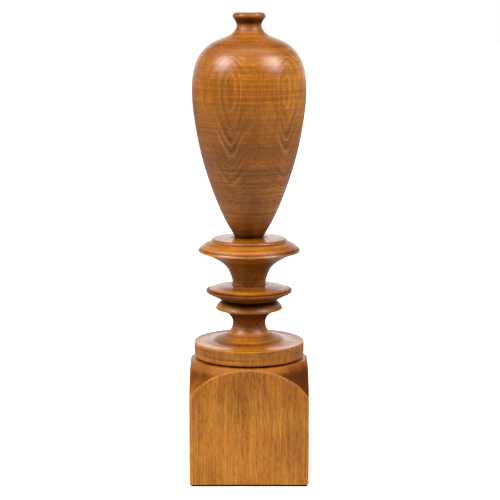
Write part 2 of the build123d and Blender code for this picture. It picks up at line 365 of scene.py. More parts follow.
def block_half(name, first, last, bottom, top, half_size, bore, counterbore, seat):
    """Half of the block: a square prism whose top corners are turned down to a circle."""
    centre_height = top - math.sqrt(SHOULDER_RADIUS**2 - (SHOULDER_TOP - SHOULDER_CENTRE) ** 2)

    def shoulder(z):
        rise = np.maximum(z - centre_height, 0)
        return SHOULDER_CENTRE + np.sqrt(SHOULDER_RADIUS**2 - rise**2)

    round_start = top - TOP_ROUND
    low_arris = np.linspace(0, math.pi / 2, 6)
    heights = np.concatenate([
        bottom + ARRIS * (1 - np.cos(low_arris)),
        np.arange(bottom + ARRIS + BLOCK_SPACING, 0.110, BLOCK_SPACING),
        np.arange(0.110, 0.146, 0.7 * MM),
        np.linspace(0.146, round_start, 18),
    ])
    inset = np.zeros(len(heights))
    inset[: len(low_arris)] = ARRIS * (1 - np.sin(low_arris))
    angles, reach = square_edge(half_size, first, last)
    wide = reach[:, None] - inset[None, :]
    turned_down = shoulder(heights)[None, :] + 0 * wide
    overlap = np.clip(1 - np.abs(wide - turned_down) / ARRIS_BLEND, 0, 1)
    radius = np.minimum(wide, turned_down) - overlap**2 * ARRIS_BLEND / 4
    # the rounded rim at the top, then the flat top, the bore, its counterbore and the underside
    bend = np.linspace(0, 1, 6)[1:]
    start_radius = radius[:, -1:]
    rim = SHOULDER_TOP * np.ones_like(start_radius)
    inner = rim - TOP_ROUND
    rim_radius = start_radius * (1 - bend) ** 2 + 2 * rim * bend * (1 - bend) + inner * bend**2
    rim_height = round_start * (1 - bend) ** 2 + 2 * top * bend * (1 - bend) + top * bend**2
    hidden = [(r, top) for r in np.linspace(SHOULDER_TOP - 2 * TOP_ROUND, bore, 9)]
    hidden += [(bore, z) for z in np.linspace(top, seat, 12)[1:]]
    hidden += [(counterbore, seat), (counterbore, (seat + bottom) / 2), (counterbore, bottom)]
    hidden = np.array(hidden)
    ones = np.ones((len(angles), 1))
    share = np.linspace(0, 1, 9)[1:-1]
    under = counterbore + (radius[:, :1] - counterbore) * share
    r = np.hstack([radius, rim_radius, ones * hidden[:, 0], under])
    under_height = np.full(len(share), bottom)
    z = ones * np.concatenate([heights, rim_height, hidden[:, 1], under_height])
    across = angles[:, None]
    # the planed faces are not quite flat
    outside = np.zeros(r.shape[1])
    outside[len(low_arris) : len(heights)] = 1
    dish = np.sin(across * 2 + z * 31) * np.sin(z * 47 + 1) * 0.10 * MM
    r = r - np.abs(dish) * outside
    co = np.stack([r * np.cos(across), r * np.sin(across), z], -1).reshape(-1, 3)
    columns, rows = r.shape
    faces = []
    for j in range(columns - 1):
        for i in range(rows):
            k = (i + 1) % rows
            faces.append((j * rows + i, (j + 1) * rows + i, (j + 1) * rows + k, j * rows + k))
    faces.append(tuple(range(rows)))
    faces.append(tuple((columns - 1) * rows + i for i in reversed(range(rows))))
    mesh = bpy.data.meshes.new(name)
    mesh.from_pydata(co.tolist(), [], faces)
    # marks for the material: lighter edges, partly wear and partly a painted highlight along the arch,
    # corners, bottom and top rim
    corner = np.clip((reach[:, None] / half_size - 1.35) / 0.05, 0, 1) * (z < 0.12)
    edge = np.zeros_like(r)
    edge[:, : len(heights)] = 0.42 * overlap
    edge = np.maximum(edge, 0.5 * corner)
    edge = np.maximum(edge, 0.6 * (z < bottom + ARRIS) * outside_edge(r, counterbore))
    edge[:, len(heights) - 2 : len(heights) + len(bend)] = 0.4
    on_shoulder = np.zeros_like(r)
    on_shoulder[:, : len(heights)] = np.clip((wide - turned_down) / (2 * MM), 0, 1)
    # a painted dark reflection band across the shoulders below the rim, heavier towards the right
    drop = (top - z) / MM
    dark_reflection_band = 0.62 * np.exp(-(((drop - 12) / 5.5) ** 2)) + 0.36 * np.clip((drop - 12) / 8, 0, 1)
    x, y = r * np.cos(across), r * np.sin(across)
    dark_reflection_band *= 0.85 + 0.75 * np.clip(x / 0.06, 0, 1)
    # on the flat faces, darker towards the top and near the corners
    beside = np.clip((np.minimum(np.abs(x), np.abs(y)) - 0.045) / 0.030, 0, 1)
    flat_darkening = 0.26 * np.clip((z - 0.080) / 0.06, 0, 1) + 0.12 * beside
    # painted dark reflection on the shoulders towards the sides, most on the right
    side_dark_reflection = 0.32 * np.clip(x / 0.06, 0, 1) + 0.12 * np.clip(-x / 0.06, 0, 1)
    # shoulders take real stain in the end grain plus the painted dark reflection; flat faces take the
    # darkening above
    stain_and_painted_shading = on_shoulder * (0.14 + side_dark_reflection + dark_reflection_band) + (1 - on_shoulder) * flat_darkening
    marks = (edge, np.zeros_like(r), stain_and_painted_shading)
    write_marks(mesh, *(mark.reshape(-1) for mark in marks))
    return closed_piece(name, mesh)


def outside_edge(radius, counterbore):
    return radius > 2 * counterbore


def bored(piece, low, high):
    """Cuts the blind dowel holes between two heights into a piece."""
    for corner in range(4):
        turn = math.pi / 4 + corner * math.pi / 2
        steps = 40
        ring = [
            (
                DOWEL_CIRCLE * math.cos(turn) + DOWEL_RADIUS * math.cos(a),
                DOWEL_CIRCLE * math.sin(turn) + DOWEL_RADIUS * math.sin(a),
            )
            for a in (2 * math.pi * k / steps for k in range(steps))
        ]
        if (ring[0][1] > 0) != (sum(v[1] for v in piece.bound_box) > 0):
            continue
        mesh = bpy.data.meshes.new("cutter")
        points = [(x, y, z) for z in (low, high) for x, y in ring]
        sides = [(k, (k + 1) % steps, steps + (k + 1) % steps, steps + k) for k in range(steps)]
        ends = [tuple(reversed(range(steps))), tuple(range(steps, 2 * steps))]
        mesh.from_pydata(points, [], sides + ends)
        cutter = bpy.data.objects.new("cutter", mesh)
        bpy.context.scene.collection.objects.link(cutter)
        cut = piece.modifiers.new("dowel_hole", "BOOLEAN")
        cut.operation = "DIFFERENCE"
        cut.solver = "EXACT"
        cut.object = cutter
        bpy.context.view_layer.update()
        evaluated = piece.evaluated_get(bpy.context.evaluated_depsgraph_get())
        result = bpy.data.meshes.new_from_object(evaluated)
        piece.modifiers.clear()
        piece.data = result
        bpy.data.objects.remove(cutter)
    piece.data.shade_smooth()
    piece.data.set_sharp_from_angle(angle=SHARP_ANGLE)


# ---------------------------------------------------------------- material building
class Graph:
    """A node tree with short calls for the nodes that the materials use."""

    def __init__(self, name):
        self.material = bpy.data.materials.new(name)
        self.material.use_nodes = True
        self.tree = self.material.node_tree
        self.tree.nodes.clear()

    @classmethod
    def over(cls, tree):
        """A graph on a tree that already exists, such as a world's."""
        made = cls.__new__(cls)
        made.tree = tree
        tree.nodes.clear()
        return made

    def node(self, kind, inputs=(), output=0, **settings):
        made = self.tree.nodes.new(kind)
        for key, value in settings.items():
            setattr(made, key, value)
        for key, value in dict(inputs).items():
            self.feed(made.inputs[key], value)
        return made.outputs[output]

    def feed(self, socket, value):
        if isinstance(value, bpy.types.NodeSocket):
            self.tree.links.new(value, socket)
        elif value is not None:
            socket.default_value = value

    def math(self, operation, a, b=None, c=None, clamp=False):
        return self.node(
            "ShaderNodeMath", {0: a, 1: b, 2: c}, operation=operation, use_clamp=clamp
        )

    def vector(self, operation, a, b=None):
        return self.node("ShaderNodeVectorMath", {0: a, 1: b}, operation=operation)

    def noise(self, vector, scale=1.0, detail=2.0, roughness=0.5):
        inputs = {"Vector": vector, "Scale": scale, "Detail": detail, "Roughness": roughness}
        return self.node("ShaderNodeTexNoise", inputs)

    def ramp(self, value, low, high, to_low=0.0, to_high=1.0, smooth=True):
        kind = "SMOOTHSTEP" if smooth else "LINEAR"
        inputs = {0: value, 1: low, 2: high, 3: to_low, 4: to_high}
        return self.node("ShaderNodeMapRange", inputs, interpolation_type=kind)

    def mix(self, factor, a, b, blend="MIX"):
        made = self.tree.nodes.new("ShaderNodeMix")
        made.data_type = "RGBA"
        made.blend_type = blend
        self.feed(made.inputs["Factor"], factor)
        self.feed(made.inputs["A"], a)
        self.feed(made.inputs["B"], b)
        return made.outputs["Result"]

    def centred(self, value, amount):
        """A noise value, which is about a half on average, moved to zero and scaled."""
        return self.math("MULTIPLY_ADD", value, amount, -0.5 * amount)

    def split(self, vector):
        made = self.tree.nodes.new("ShaderNodeSeparateXYZ")
        self.feed(made.inputs[0], vector)
        return made.outputs

    def join(self, x, y, z):
        return self.node("ShaderNodeCombineXYZ", {0: x, 1: y, 2: z})

    def finish(self, **inputs):
        shader = self.tree.nodes.new("ShaderNodeBsdfPrincipled")
        for key, value in inputs.items():
            self.feed(shader.inputs[key.replace("_", " ")], value)
        output = self.tree.nodes.new("ShaderNodeOutputMaterial")
        self.tree.links.new(shader.outputs[0], output.inputs[0])
        return self.material


PALE_WOOD = (0.95, 0.390, 0.034, 1)
LIGHT_WOOD = (0.67, 0.245, 0.020, 1)
MID_WOOD = (0.390, 0.124, 0.0080, 1)
DARK_WOOD = (0.085, 0.020, 0.0016, 1)
PALE_LINE = (0.80, 0.42, 0.17, 1)
REDDER = (1.0, 0.90, 0.80, 1)
GLUE = (0.70, 0.46, 0.24, 1)
# pale colour painted as a glint along the seam
SEAM_GLINT_COLOUR = (0.95, 0.82, 0.66, 1)


class Board:
    """How one board of a piece was sawn and stained.

    piths: (x, y) in mm of the tree's centre lines, which the growth rings go round.
    pitch: ring width in mm. lean: how far the rings lean outwards per mm of height.
    flutes: (x, width, depth) in mm of places where the rings bulge towards the front.
    figure: strength of the ring lines. marks: strength of the turning marks.
    stain: how much darker than usual the board took the stain.
    grain: strength of the fibres, streaks and pores. patches: strength of the broad variation.
    seam_glint: (first x, last x, half width, lowest z) in mm of a stretch of the seam where a pale line is
    painted as a glint off a slightly proud board edge.
    painted_side_shading: how much darker the colour is painted per mm of x, painted shade on one side and
    painted light on the other. satin: how much duller the lacquer is.
    """

    def __init__(
        self, seed, piths, pitch=4.6, lean=0.0, flutes=(), figure=1.0, marks=1.0, stain=0.0,
        grain=1.0, patches=1.0, seam_glint=None, painted_side_shading=0.0, satin=0.0,
    ):
        self.grain = grain
        self.patches = patches
        self.painted_side_shading = painted_side_shading
        self.satin = satin
        self.seam_glint = seam_glint
        self.seed = seed
        self.piths = piths
        self.flutes = flutes
        self.pitch = pitch
        self.lean = lean
        self.figure = figure
        self.marks = marks
        self.stain = stain


def in_millimetres(g):
    """A place on the piece, in millimetres."""
    place = g.node("ShaderNodeTexCoord", output=3)
    return g.vector("MULTIPLY", place, (1000.0, 1000.0, 1000.0))


def growth_rings(g, board, p, shifted):
    """(pale, late): the thin pale line and the darker late wood of every growth ring."""
    x, y, z = g.split(p)
    bend = g.noise(g.vector("MULTIPLY", shifted, (0.020, 0.020, 0.006)), 1.0, 2.0)
    fine_bend = g.noise(g.vector("MULTIPLY", shifted, (0.11, 0.11, 0.022)), 1.0, 2.0)
    bent = g.math("ADD", g.centred(bend, 5.0), g.centred(fine_bend, 1.1))
    bulges = 0.0
    for middle_x, width, depth in board.flutes:
        offset = g.math("DIVIDE", g.math("SUBTRACT", x, middle_x), width)
        bulge = g.math("EXPONENT", g.math("MULTIPLY", g.math("MULTIPLY", offset, offset), -1.0))
        bent = g.math("MULTIPLY_ADD", bulge, depth, bent)
        bulges = g.math("ADD", bulge, bulges)
    distance = None
    for pith_x, pith_y in board.piths:
        dx = g.math("SUBTRACT", x, pith_x)
        dy = g.math("SUBTRACT", y, pith_y)
        square = g.math("MULTIPLY_ADD", dx, dx, g.math("MULTIPLY", dy, dy))
        reach = g.math("SQRT", square)
        distance = reach if distance is None else g.math("SMOOTH_MAX", distance, reach, 3.0)
    distance = g.math("ADD", g.math("MULTIPLY_ADD", z, board.lean, distance), bent)
    spread = g.noise(g.join(g.math("MULTIPLY", distance, 0.10), board.seed, 0.0), 1.0, 1.0)
    ring = g.math("ADD", g.math("DIVIDE", distance, board.pitch), g.math("MULTIPLY", spread, 3.0))
    phase = g.math("FRACT", ring)
    year = g.noise(g.join(g.math("FLOOR", ring), board.seed, 3.0), 7.3, 0.0)
    strength = g.ramp(year, 0.30, 0.60, 0.35, 1.0)
    fading = g.noise(g.vector("MULTIPLY", shifted, (0.05, 0.05, 0.02)), 1.0, 1.0)
    strength = g.math("MULTIPLY", strength, g.ramp(fading, 0.30, 0.55, 0.35, 1.0))
    if board.flutes:
        strength = g.math("MULTIPLY", strength, g.ramp(bulges, 0.05, 0.45, 0.25, 1.0))
    pale = g.math("MULTIPLY", g.ramp(phase, 0.34, 0.42), g.ramp(phase, 0.52, 0.44))
    late = g.math("MULTIPLY", g.ramp(phase, 0.50, 0.90), g.ramp(phase, 1.0, 0.93))
    return g.math("MULTIPLY", pale, strength), g.math("MULTIPLY", late, strength)


def lacquered_wood(name, board):
    """Stained, lacquered wood cut from one board."""
    g = Graph(name)
    p = in_millimetres(g)
    x, y, z = g.split(p)
    offset = (board.seed * 37.0, board.seed * 61.0, board.seed * 113.0)
    shifted = g.vector("ADD", p, offset)
    pale, late = growth_rings(g, board, p, shifted)
    # fibres, streaks, pores and blotches, all long up the board
    fibre = g.noise(g.vector("MULTIPLY", shifted, (1.9, 1.9, 0.13)), 1.0, 3.0, 0.6)
    streak = g.noise(g.vector("MULTIPLY", shifted, (0.95, 0.95, 0.045)), 1.0, 2.0, 0.6)
    broad = g.noise(g.vector("MULTIPLY", shifted, (0.12, 0.12, 0.009)), 1.0, 2.0)
    blotch = g.noise(g.vector("MULTIPLY", shifted, (0.028, 0.028, 0.016)), 1.0, 2.0)
    pore_place = g.vector("MULTIPLY", shifted, (0.95, 0.95, 0.075))
    cells = g.node("ShaderNodeTexVoronoi", {"Vector": pore_place, "Scale": 1.0, "Randomness": 1.0})
    pore = g.math("MULTIPLY", g.ramp(cells, 0.34, 0.12), g.ramp(streak, 0.38, 0.6, 0.2, 1.0))
    # turning marks run level round the piece
    level = g.vector("MULTIPLY", shifted, (0.004, 0.004, 1.15))
    turning = g.noise(level, 1.0, 3.0, 0.7)
    wide_level = g.vector("MULTIPLY", shifted, (0.006, 0.006, 0.30))
    wide_turning = g.noise(wide_level, 1.0, 2.0, 0.6)
    turned_marks = g.math("ADD", g.centred(turning, 0.5), g.centred(wide_turning, 0.5))
    # how deep the stain went, with painted shade in creases and recesses, lighter edges that are partly wear
    # and partly a painted highlight, and painted light and shade from the marks
    facing = g.node("ShaderNodeNewGeometry", output=1)
    upward = g.math("ABSOLUTE", g.split(facing)[2])
    steep = g.ramp(upward, 0.80, 0.45)
    end_grain = g.math("POWER", upward, 1.5)
    edge_mark = g.node("ShaderNodeAttribute", output=2, attribute_name="edge_mark")
    recess_mark = g.node("ShaderNodeAttribute", output=2, attribute_name="recess_shade")
    stain_and_painted_shading = g.node("ShaderNodeAttribute", output=2, attribute_name="stain_and_painted_shading")
    # painted shade in inside corners and creases, and painted shade in recesses that nearby wood hides from
    # the light
    crease_shade = g.ramp(edge_mark, -0.10, -0.65)
    # outside edges are painted lighter: partly wear through the stain, partly a painted highlight
    edge = g.ramp(edge_mark, 0.20, 0.60)
    recess_shade = g.ramp(recess_mark, 0.10, 0.60)
    depth = g.math("ADD", g.centred(fibre, 0.60 * board.grain), 0.38 + board.stain)
    # painted side shading: the colour darkens steadily across x, painted shade on one side and painted light
    # on the other
    depth = g.math("MULTIPLY_ADD", x, board.painted_side_shading, depth)
    # the stain and painted shading mark adds real stain in places and painted light and shade at listed
    # heights and on the block's shoulders
    for amount in (
        stain_and_painted_shading,
        g.centred(streak, 0.42 * board.grain),
        g.centred(broad, 0.35 * board.patches),
        g.centred(blotch, 0.45 * board.patches),
        g.math("MULTIPLY", turned_marks, 0.75 * board.marks),
        g.math("MULTIPLY", g.math("MULTIPLY", late, steep), 0.24 * board.figure),
        g.math("MULTIPLY", g.math("MULTIPLY", pale, steep), -0.46 * board.figure),
        g.math("MULTIPLY", pore, 0.28 * board.grain),
        g.math("MULTIPLY", end_grain, 0.42),
        # painted shade in creases and recesses
        g.math("MULTIPLY", crease_shade, 0.60),
        g.math("MULTIPLY", recess_shade, 0.40),
        # lighter edges: partly wear, partly a painted highlight
        g.math("MULTIPLY", edge, -0.28),
    ):
        depth = g.math("ADD", depth, amount)
    pale_to_light = g.mix(g.ramp(depth, -0.5, 0.0, smooth=False), PALE_WOOD, LIGHT_WOOD)
    pale_to_mid = g.mix(g.ramp(depth, 0.0, 0.5, smooth=False), pale_to_light, MID_WOOD)
    colour = g.mix(g.ramp(depth, 0.5, 1.25, smooth=False), pale_to_mid, DARK_WOOD)
    pale_line = g.math("MULTIPLY", g.math("MULTIPLY", pale, steep), 0.15 * board.figure)
    colour = g.mix(pale_line, colour, PALE_LINE)
    # the stain is redder in places
    reddish = g.noise(g.vector("MULTIPLY", shifted, (0.060, 0.060, 0.035)), 1.0, 3.0, 0.6)
    colour = g.mix(g.ramp(reddish, 0.42, 0.66), colour, REDDER, "MULTIPLY")
    off_seam = g.math("ABSOLUTE", y)
    seam = g.ramp(off_seam, 0.30, 0.10)
    colour = g.mix(g.math("MULTIPLY", seam, 0.35), colour, GLUE)
    # a pale line painted along the seam on the disc top: a painted glint off a slightly proud board edge
    if board.seam_glint:
        first, last, half_width, above = board.seam_glint
        seam_glint_mask = g.math("MULTIPLY", g.ramp(x, first, first + 4.0), g.ramp(x, last, last - 4.0))
        seam_glint_mask = g.math("MULTIPLY", seam_glint_mask, g.ramp(z, above - 0.3, above))
        seam_glint_mask = g.math("MULTIPLY", seam_glint_mask, g.ramp(off_seam, half_width, 0.6 * half_width))
        colour = g.mix(g.math("MULTIPLY", seam_glint_mask, 0.9), colour, SEAM_GLINT_COLOUR)
    # surface
    rough = g.math("MULTIPLY_ADD", fibre, 0.16, 0.42)
    relief = g.math("MULTIPLY", turned_marks, 0.07 * board.marks)
    for amount in (
        g.math("MULTIPLY", fibre, 0.02),
        g.math("MULTIPLY", pore, -0.05),
        g.math("MULTIPLY", seam, -0.05),
    ):
        relief = g.math("ADD", relief, amount)
    bump = g.node("ShaderNodeBump", {"Strength": 0.6, "Distance": MM, "Height": relief})
    coat_bump = g.node("ShaderNodeBump", {"Strength": 0.25, "Distance": MM, "Height": relief})
    # the lacquer lies smoothest on level surfaces
    coat_rough = g.math("MULTIPLY_ADD", blotch, 0.10, 0.20 + board.satin)
    coat_rough = g.math("MULTIPLY_ADD", g.ramp(stain_and_painted_shading, 0.10, 0.40), 0.17, coat_rough)
    level_face = g.ramp(upward, 0.93, 0.99)
    coat_rough = g.math("MULTIPLY_ADD", level_face, -0.11 - board.satin, coat_rough)
    # lacquer sinks into wood that soaks up a lot of stain, and goes dull in deep recesses; the lacquer is
    # thinned wherever the stain and painted shading mark is high, painted shade included
    coat = g.ramp(stain_and_painted_shading, 0.15, 0.65, 0.95, 0.05)
    coat = g.math("MULTIPLY", coat, g.ramp(recess_mark, 0.30, 0.60, 1.0, 0.25))
    return g.finish(
        Base_Color=colour,
        Roughness=rough,
        Specular_IOR_Level=0.04,
        Normal=bump,
        Coat_Weight=coat,
        Coat_Roughness=coat_rough,
        Coat_Normal=coat_bump,
    )


def pressed_felt(name):
    """Black felt: matted fibres lying every way, with a little lint."""
    g = Graph(name)
    p = in_millimetres(g)
    matted = g.noise(p, 0.9, 4.0, 0.65)
    along = g.noise(g.vector("MULTIPLY", p, (0.5, 5.0, 5.0)), 1.0, 2.0)
    across = g.noise(g.vector("MULTIPLY", p, (5.0, 0.5, 5.0)), 1.0, 2.0)
    hairs = g.math("MAXIMUM", along, across)
    lint = g.ramp(g.noise(p, 0.35, 3.0), 0.62, 0.78, 0.0, 0.5)
    black = g.mix(matted, (0.004, 0.004, 0.004, 1), (0.030, 0.028, 0.026, 1))
    colour = g.mix(g.math("MULTIPLY", lint, hairs), black, (0.13, 0.12, 0.11, 1))
    relief = g.math("MULTIPLY_ADD", hairs, 0.4, g.math("MULTIPLY", matted, 0.6))
    bump = g.node("ShaderNodeBump", {"Strength": 0.9, "Distance": 0.6 * MM, "Height": relief})
    return g.finish(
        Base_Color=colour,
        Roughness=0.95,
        Specular_IOR_Level=0.15,
        Sheen_Weight=0.35,
        Sheen_Roughness=0.5,
        Normal=bump,
    )


def zinc_plate(name, thread_pitch=0.0):
    """Bright zinc on steel with a faint bluish and yellowish cast, threaded if a pitch in mm is given."""
    g = Graph(name)
    p = in_millimetres(g)
    x, y, z = g.split(p)
    cast = g.noise(p, 0.12, 2.0)
    spangle = g.node("ShaderNodeTexVoronoi", {"Vector": p, "Scale": 1.3, "Randomness": 1.0}, output=1)
    speckle = g.split(spangle)[0]
    scuff = g.noise(g.vector("MULTIPLY", p, (1.6, 1.6, 0.25)), 1.0, 4.0, 0.7)
    colour = g.mix(cast, (0.56, 0.60, 0.66, 1), (0.66, 0.62, 0.52, 1))
    colour = g.mix(g.math("MULTIPLY", speckle, 0.25), colour, (0.75, 0.75, 0.74, 1))
    rough = g.math("MULTIPLY_ADD", scuff, 0.30, 0.16)
    relief = g.math("MULTIPLY", scuff, 0.05)
    if thread_pitch:
        turn = g.math("ARCTAN2", y, x)
        climb = g.math("MULTIPLY_ADD", z, 2 * math.pi / thread_pitch, turn)
        relief = g.math("MULTIPLY_ADD", g.math("SINE", climb), 0.5, relief)
    bump = g.node("ShaderNodeBump", {"Strength": 0.8, "Distance": MM, "Height": relief})
    return g.finish(Base_Color=colour, Metallic=1.0, Roughness=rough, Normal=bump)


def turned_brass(name):
    """Brass turned on a lathe, a little tarnished."""
    g = Graph(name)
    p = in_millimetres(g)
    tarnish = g.noise(p, 0.30, 4.0, 0.6)
    lathe = g.noise(g.vector("MULTIPLY", p, (0.02, 0.02, 4.0)), 1.0, 3.0, 0.7)
    colour = g.mix(g.ramp(tarnish, 0.40, 0.70), (0.78, 0.57, 0.25, 1), (0.48, 0.32, 0.13, 1))
    rough = g.math("MULTIPLY_ADD", tarnish, 0.25, 0.15)
    bump = g.node("ShaderNodeBump", {"Strength": 0.4, "Distance": 0.2 * MM, "Height": lathe})
    return g.finish(Base_Color=colour, Metallic=1.0, Roughness=rough, Normal=bump)


def bare_beech(name):
    """Unfinished dowel wood: pale, with short dark rays along the grain."""
    g = Graph(name)
    p = in_millimetres(g)
    fibre = g.noise(g.vector("MULTIPLY", p, (2.4, 2.4, 0.08)), 1.0, 3.0, 0.6)
    broad = g.noise(g.vector("MULTIPLY", p, (0.3, 0.3, 0.02)), 1.0, 2.0)
    ray_place = g.vector("MULTIPLY", p, (1.6, 1.6, 0.30))
    rays = g.node("ShaderNodeTexVoronoi", {"Vector": ray_place, "Scale": 1.0, "Randomness": 1.0})
    ray = g.ramp(rays, 0.30, 0.10)
    colour = g.mix(fibre, (0.66, 0.48, 0.29, 1), (0.52, 0.35, 0.19, 1))
    colour = g.mix(g.ramp(broad, 0.35, 0.70, 0.0, 0.4), colour, (0.45, 0.28, 0.14, 1))
    colour = g.mix(g.math("MULTIPLY", ray, 0.5), colour, (0.28, 0.16, 0.08, 1))
    relief = g.math("MULTIPLY_ADD", ray, -0.4, fibre)
    bump = g.node("ShaderNodeBump", {"Strength": 0.6, "Distance": 0.2 * MM, "Height": relief})
    return g.finish(Base_Color=colour, Roughness=0.65, Specular_IOR_Level=0.3, Normal=bump)


# ---------------------------------------------------------------- pieces
FRONT = (math.pi, 2 * math.pi)
BACK = (0.0, math.pi)

HEAD_PITHS = ((18.3, 57.1), (-40.0, 44.7))
HEAD_FLUTES = ((-23.0, 12.0, 6.0), (47.0, 9.0, 6.0))
HEAD_FRONT = Board(
    1.0, HEAD_PITHS, pitch=3.9, lean=0.029, flutes=HEAD_FLUTES, figure=1.15, marks=3.0, grain=1.7,
    painted_side_shading=-0.0012, satin=0.03,
)
head_front = lacquered_wood("head_front_wood", HEAD_FRONT)
head_back = lacquered_wood("head_back_wood", Board(2.0, ((-20.0, -70.0),), marks=3.0, grain=1.7, satin=0.03))
COLLAR_FRONT = Board(
    3.0, ((30.0, 140.0),), figure=0.4, marks=4.8, stain=0.03, grain=2.6, painted_side_shading=0.0045, satin=0.06
)
COLLAR_BACK = Board(
    4.0, ((-10.0, -90.0),), figure=0.5, marks=4.8, stain=-0.02, grain=2.1, satin=0.06
)
# where a painted glint runs along the seam on the disc top
SEAM_GLINT = (40.0, 64.0, 1.7, 173.0)
STEM_FRONT = Board(
    6.0, ((-30.0, 120.0),), figure=0.4, marks=4.8, stain=-0.05, grain=2.7, seam_glint=SEAM_GLINT,
    painted_side_shading=0.0025, satin=0.15,
)
STEM_BACK = Board(
    7.0, ((15.0, -130.0),), figure=0.5, marks=4.6, stain=-0.02, grain=2.4, satin=0.15
)
collar_front = lacquered_wood("collar_front_wood", COLLAR_FRONT)
collar_back = lacquered_wood("collar_back_wood", COLLAR_BACK)
RING_BOARD = Board(
    5.0, ((70.0, 100.0),), figure=0.5, marks=4.8, stain=-0.14, grain=2.1, satin=0.06
)
ring_wood = lacquered_wood("ring_wood", RING_BOARD)
stem_front = lacquered_wood("stem_front_wood", STEM_FRONT)
stem_back = lacquered_wood("stem_back_wood", STEM_BACK)
BLOCK_FRONT = Board(
    8.0, ((-260.0, 60.0),), pitch=7.0, figure=0.5, marks=0.05, stain=-0.33, grain=2.6, patches=1.7, satin=0.08
)
BLOCK_BACK = Board(
    9.0, ((240.0, -90.0),), pitch=6.0, figure=0.6, marks=0.05, stain=-0.32, grain=2.5, patches=1.6, satin=0.08
)
block_front = lacquered_wood("block_front_wood", BLOCK_FRONT)
block_back = lacquered_wood("block_back_wood", BLOCK_BACK)

HALF = HALF_TURN_STEPS
WHOLE = (0.0, 2 * math.pi)
# painted shade on the head: under the lip and in the neck cove, over the lower, downward-facing body, and at
# the foot above the collar
HEAD_PAINTED_SHADING = (
    (586.0, 4.0, 0.85),
    (440.0, 55.0, 0.17),
    (390.0, 40.0, 0.05),
    (577.0, 6.0, 0.30),
    (322.0, 14.0, 0.30),
    (312.0, 5.0, 0.20),
)
# on the stem: painted shade in the waist under the bead, a painted highlight on the flare, a darker band at
# the foot of the flare, a painted highlight along the disc's upper edge, a darker disc side, and painted
# light on the disc's down-facing lower round
STEM_STAIN_AND_PAINTED_SHADING = ((211.0, 6.0, 0.40), (202.0, 8.0, 0.40), (189.5, 3.0, -0.22), (181.5, 2.0, 0.14),
             (178.5, 1.2, 0.15),
             (175.6, 0.8, -0.20), (174.0, 0.5, -0.45), (166.0, 9.0, 0.22),
             (156.3, 1.6, -0.80))
# on the collar: painted shade in the cove, painted bounce light on the underside, a painted highlight on the
# rim's lower round, painted light and shade bands on the ogee, and a painted highlight by the ledge
COLLAR_PAINTED_SHADING = (
    (262.0, 14.0, 0.16),
    (286.0, 4.0, -0.35),
    (290.5, 2.5, -0.45),
    (296.3, 1.5, 0.40),
    (299.5, 1.6, -0.45),
    (305.0, 2.0, -0.20),
)
# on the ring: painted shade on the underside, a darker line low on the rim, and painted shade in the crease
# above the rim
RING_PAINTED_SHADING = ((235.0, 4.0, 0.35), (239.6, 0.9, 0.25), (242.4, 0.7, 0.80))
TURNED = (
    ("turned_head_front", "head_front_half", FRONT, HALF, head_front, "head_wood", HEAD_PAINTED_SHADING),
    ("turned_head_back", "head_back_half", BACK, HALF, head_back, "head_wood", HEAD_PAINTED_SHADING),
    ("turned_collar_front", "collar_front_half", FRONT, HALF, collar_front, "collar_wood", COLLAR_PAINTED_SHADING),
    ("turned_collar_back", "collar_back_half", BACK, HALF, collar_back, "collar_wood", COLLAR_PAINTED_SHADING),
    ("turned_ring", "ring", WHOLE, 2 * HALF, ring_wood, "ring_wood", RING_PAINTED_SHADING),
    ("turned_stem_front", "stem_front_half", FRONT, HALF, stem_front, "stem_wood", STEM_STAIN_AND_PAINTED_SHADING),
    ("turned_stem_back", "stem_back_half", BACK, HALF, stem_back, "stem_wood", STEM_STAIN_AND_PAINTED_SHADING),
)

outlines = {}
for row in TURNED:
    points, closed = outline_of(row[1])
    outlines[row[1]] = resample(points, closed), closed
block_outline = outline_of("block_front_half")[0]
sections = [outlines[node][0] for node in outlines if not node.endswith("back_half")]
solidity = Solidity(sections + [block_outline])

for piece_name, node_name, (first, last), steps, material, slot_name, stains_and_painted_shading in TURNED:
    piece = turned(piece_name, outlines[node_name], first, last, steps, stains_and_painted_shading)
    if node_name.startswith("stem"):
        stem_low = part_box(node_name)[0].z
        bored(piece, stem_low - 10 * MM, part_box("block_dowels")[1].z)
    piece.data.materials.clear()
    piece.data.materials.append(material)
    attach(piece, "root")
    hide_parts(node_name)

block_low, block_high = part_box("block_front_half")
radii = np.unique(block_outline[:, 0].round(5))
bore_radius, counterbore_radius = radii[radii > 1 * MM][:2]
at_seat = np.abs(block_outline[:, 0] - counterbore_radius) < 1e-5
seat_height = block_outline[at_seat, 1].max()
for piece_name, node_name, (first, last), material in (
    ("planed_block_front", "block_front_half", FRONT, block_front),
    ("planed_block_back", "block_back_half", BACK, block_back),
):
    piece = block_half(
        piece_name, first, last, block_low.z, block_high.z, block_high.x,
        bore_radius, counterbore_radius, seat_height,
    )
    bored(piece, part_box("block_dowels")[0].z, block_high.z + 10 * MM)
    piece.data.materials.clear()
    piece.data.materials.append(material)
    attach(piece, "root")
    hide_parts(node_name)


THREAD_PITCH = 1.75                  # M12 coarse, in mm
plated = zinc_plate("zinc_plate")
for node_name, material in (
    ("base_pad", pressed_felt("pad_felt")),
    ("tie_rod", zinc_plate("threaded_zinc_plate", THREAD_PITCH)),
    ("rod_nut", plated),
    ("rod_washer", plated),
    ("head_insert", turned_brass("insert_brass")),
    ("block_dowels", bare_beech("dowel_beech")),
):
    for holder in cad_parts[node_name].material_slots:
        holder.material = material


# ---------------------------------------------------------------- studio
WORLD_FRONT = 0.07
WORLD_BEHIND = 0.30
WORLD_STRAIGHT_BEHIND = 0.85
WORLD_CEILING = 1.1


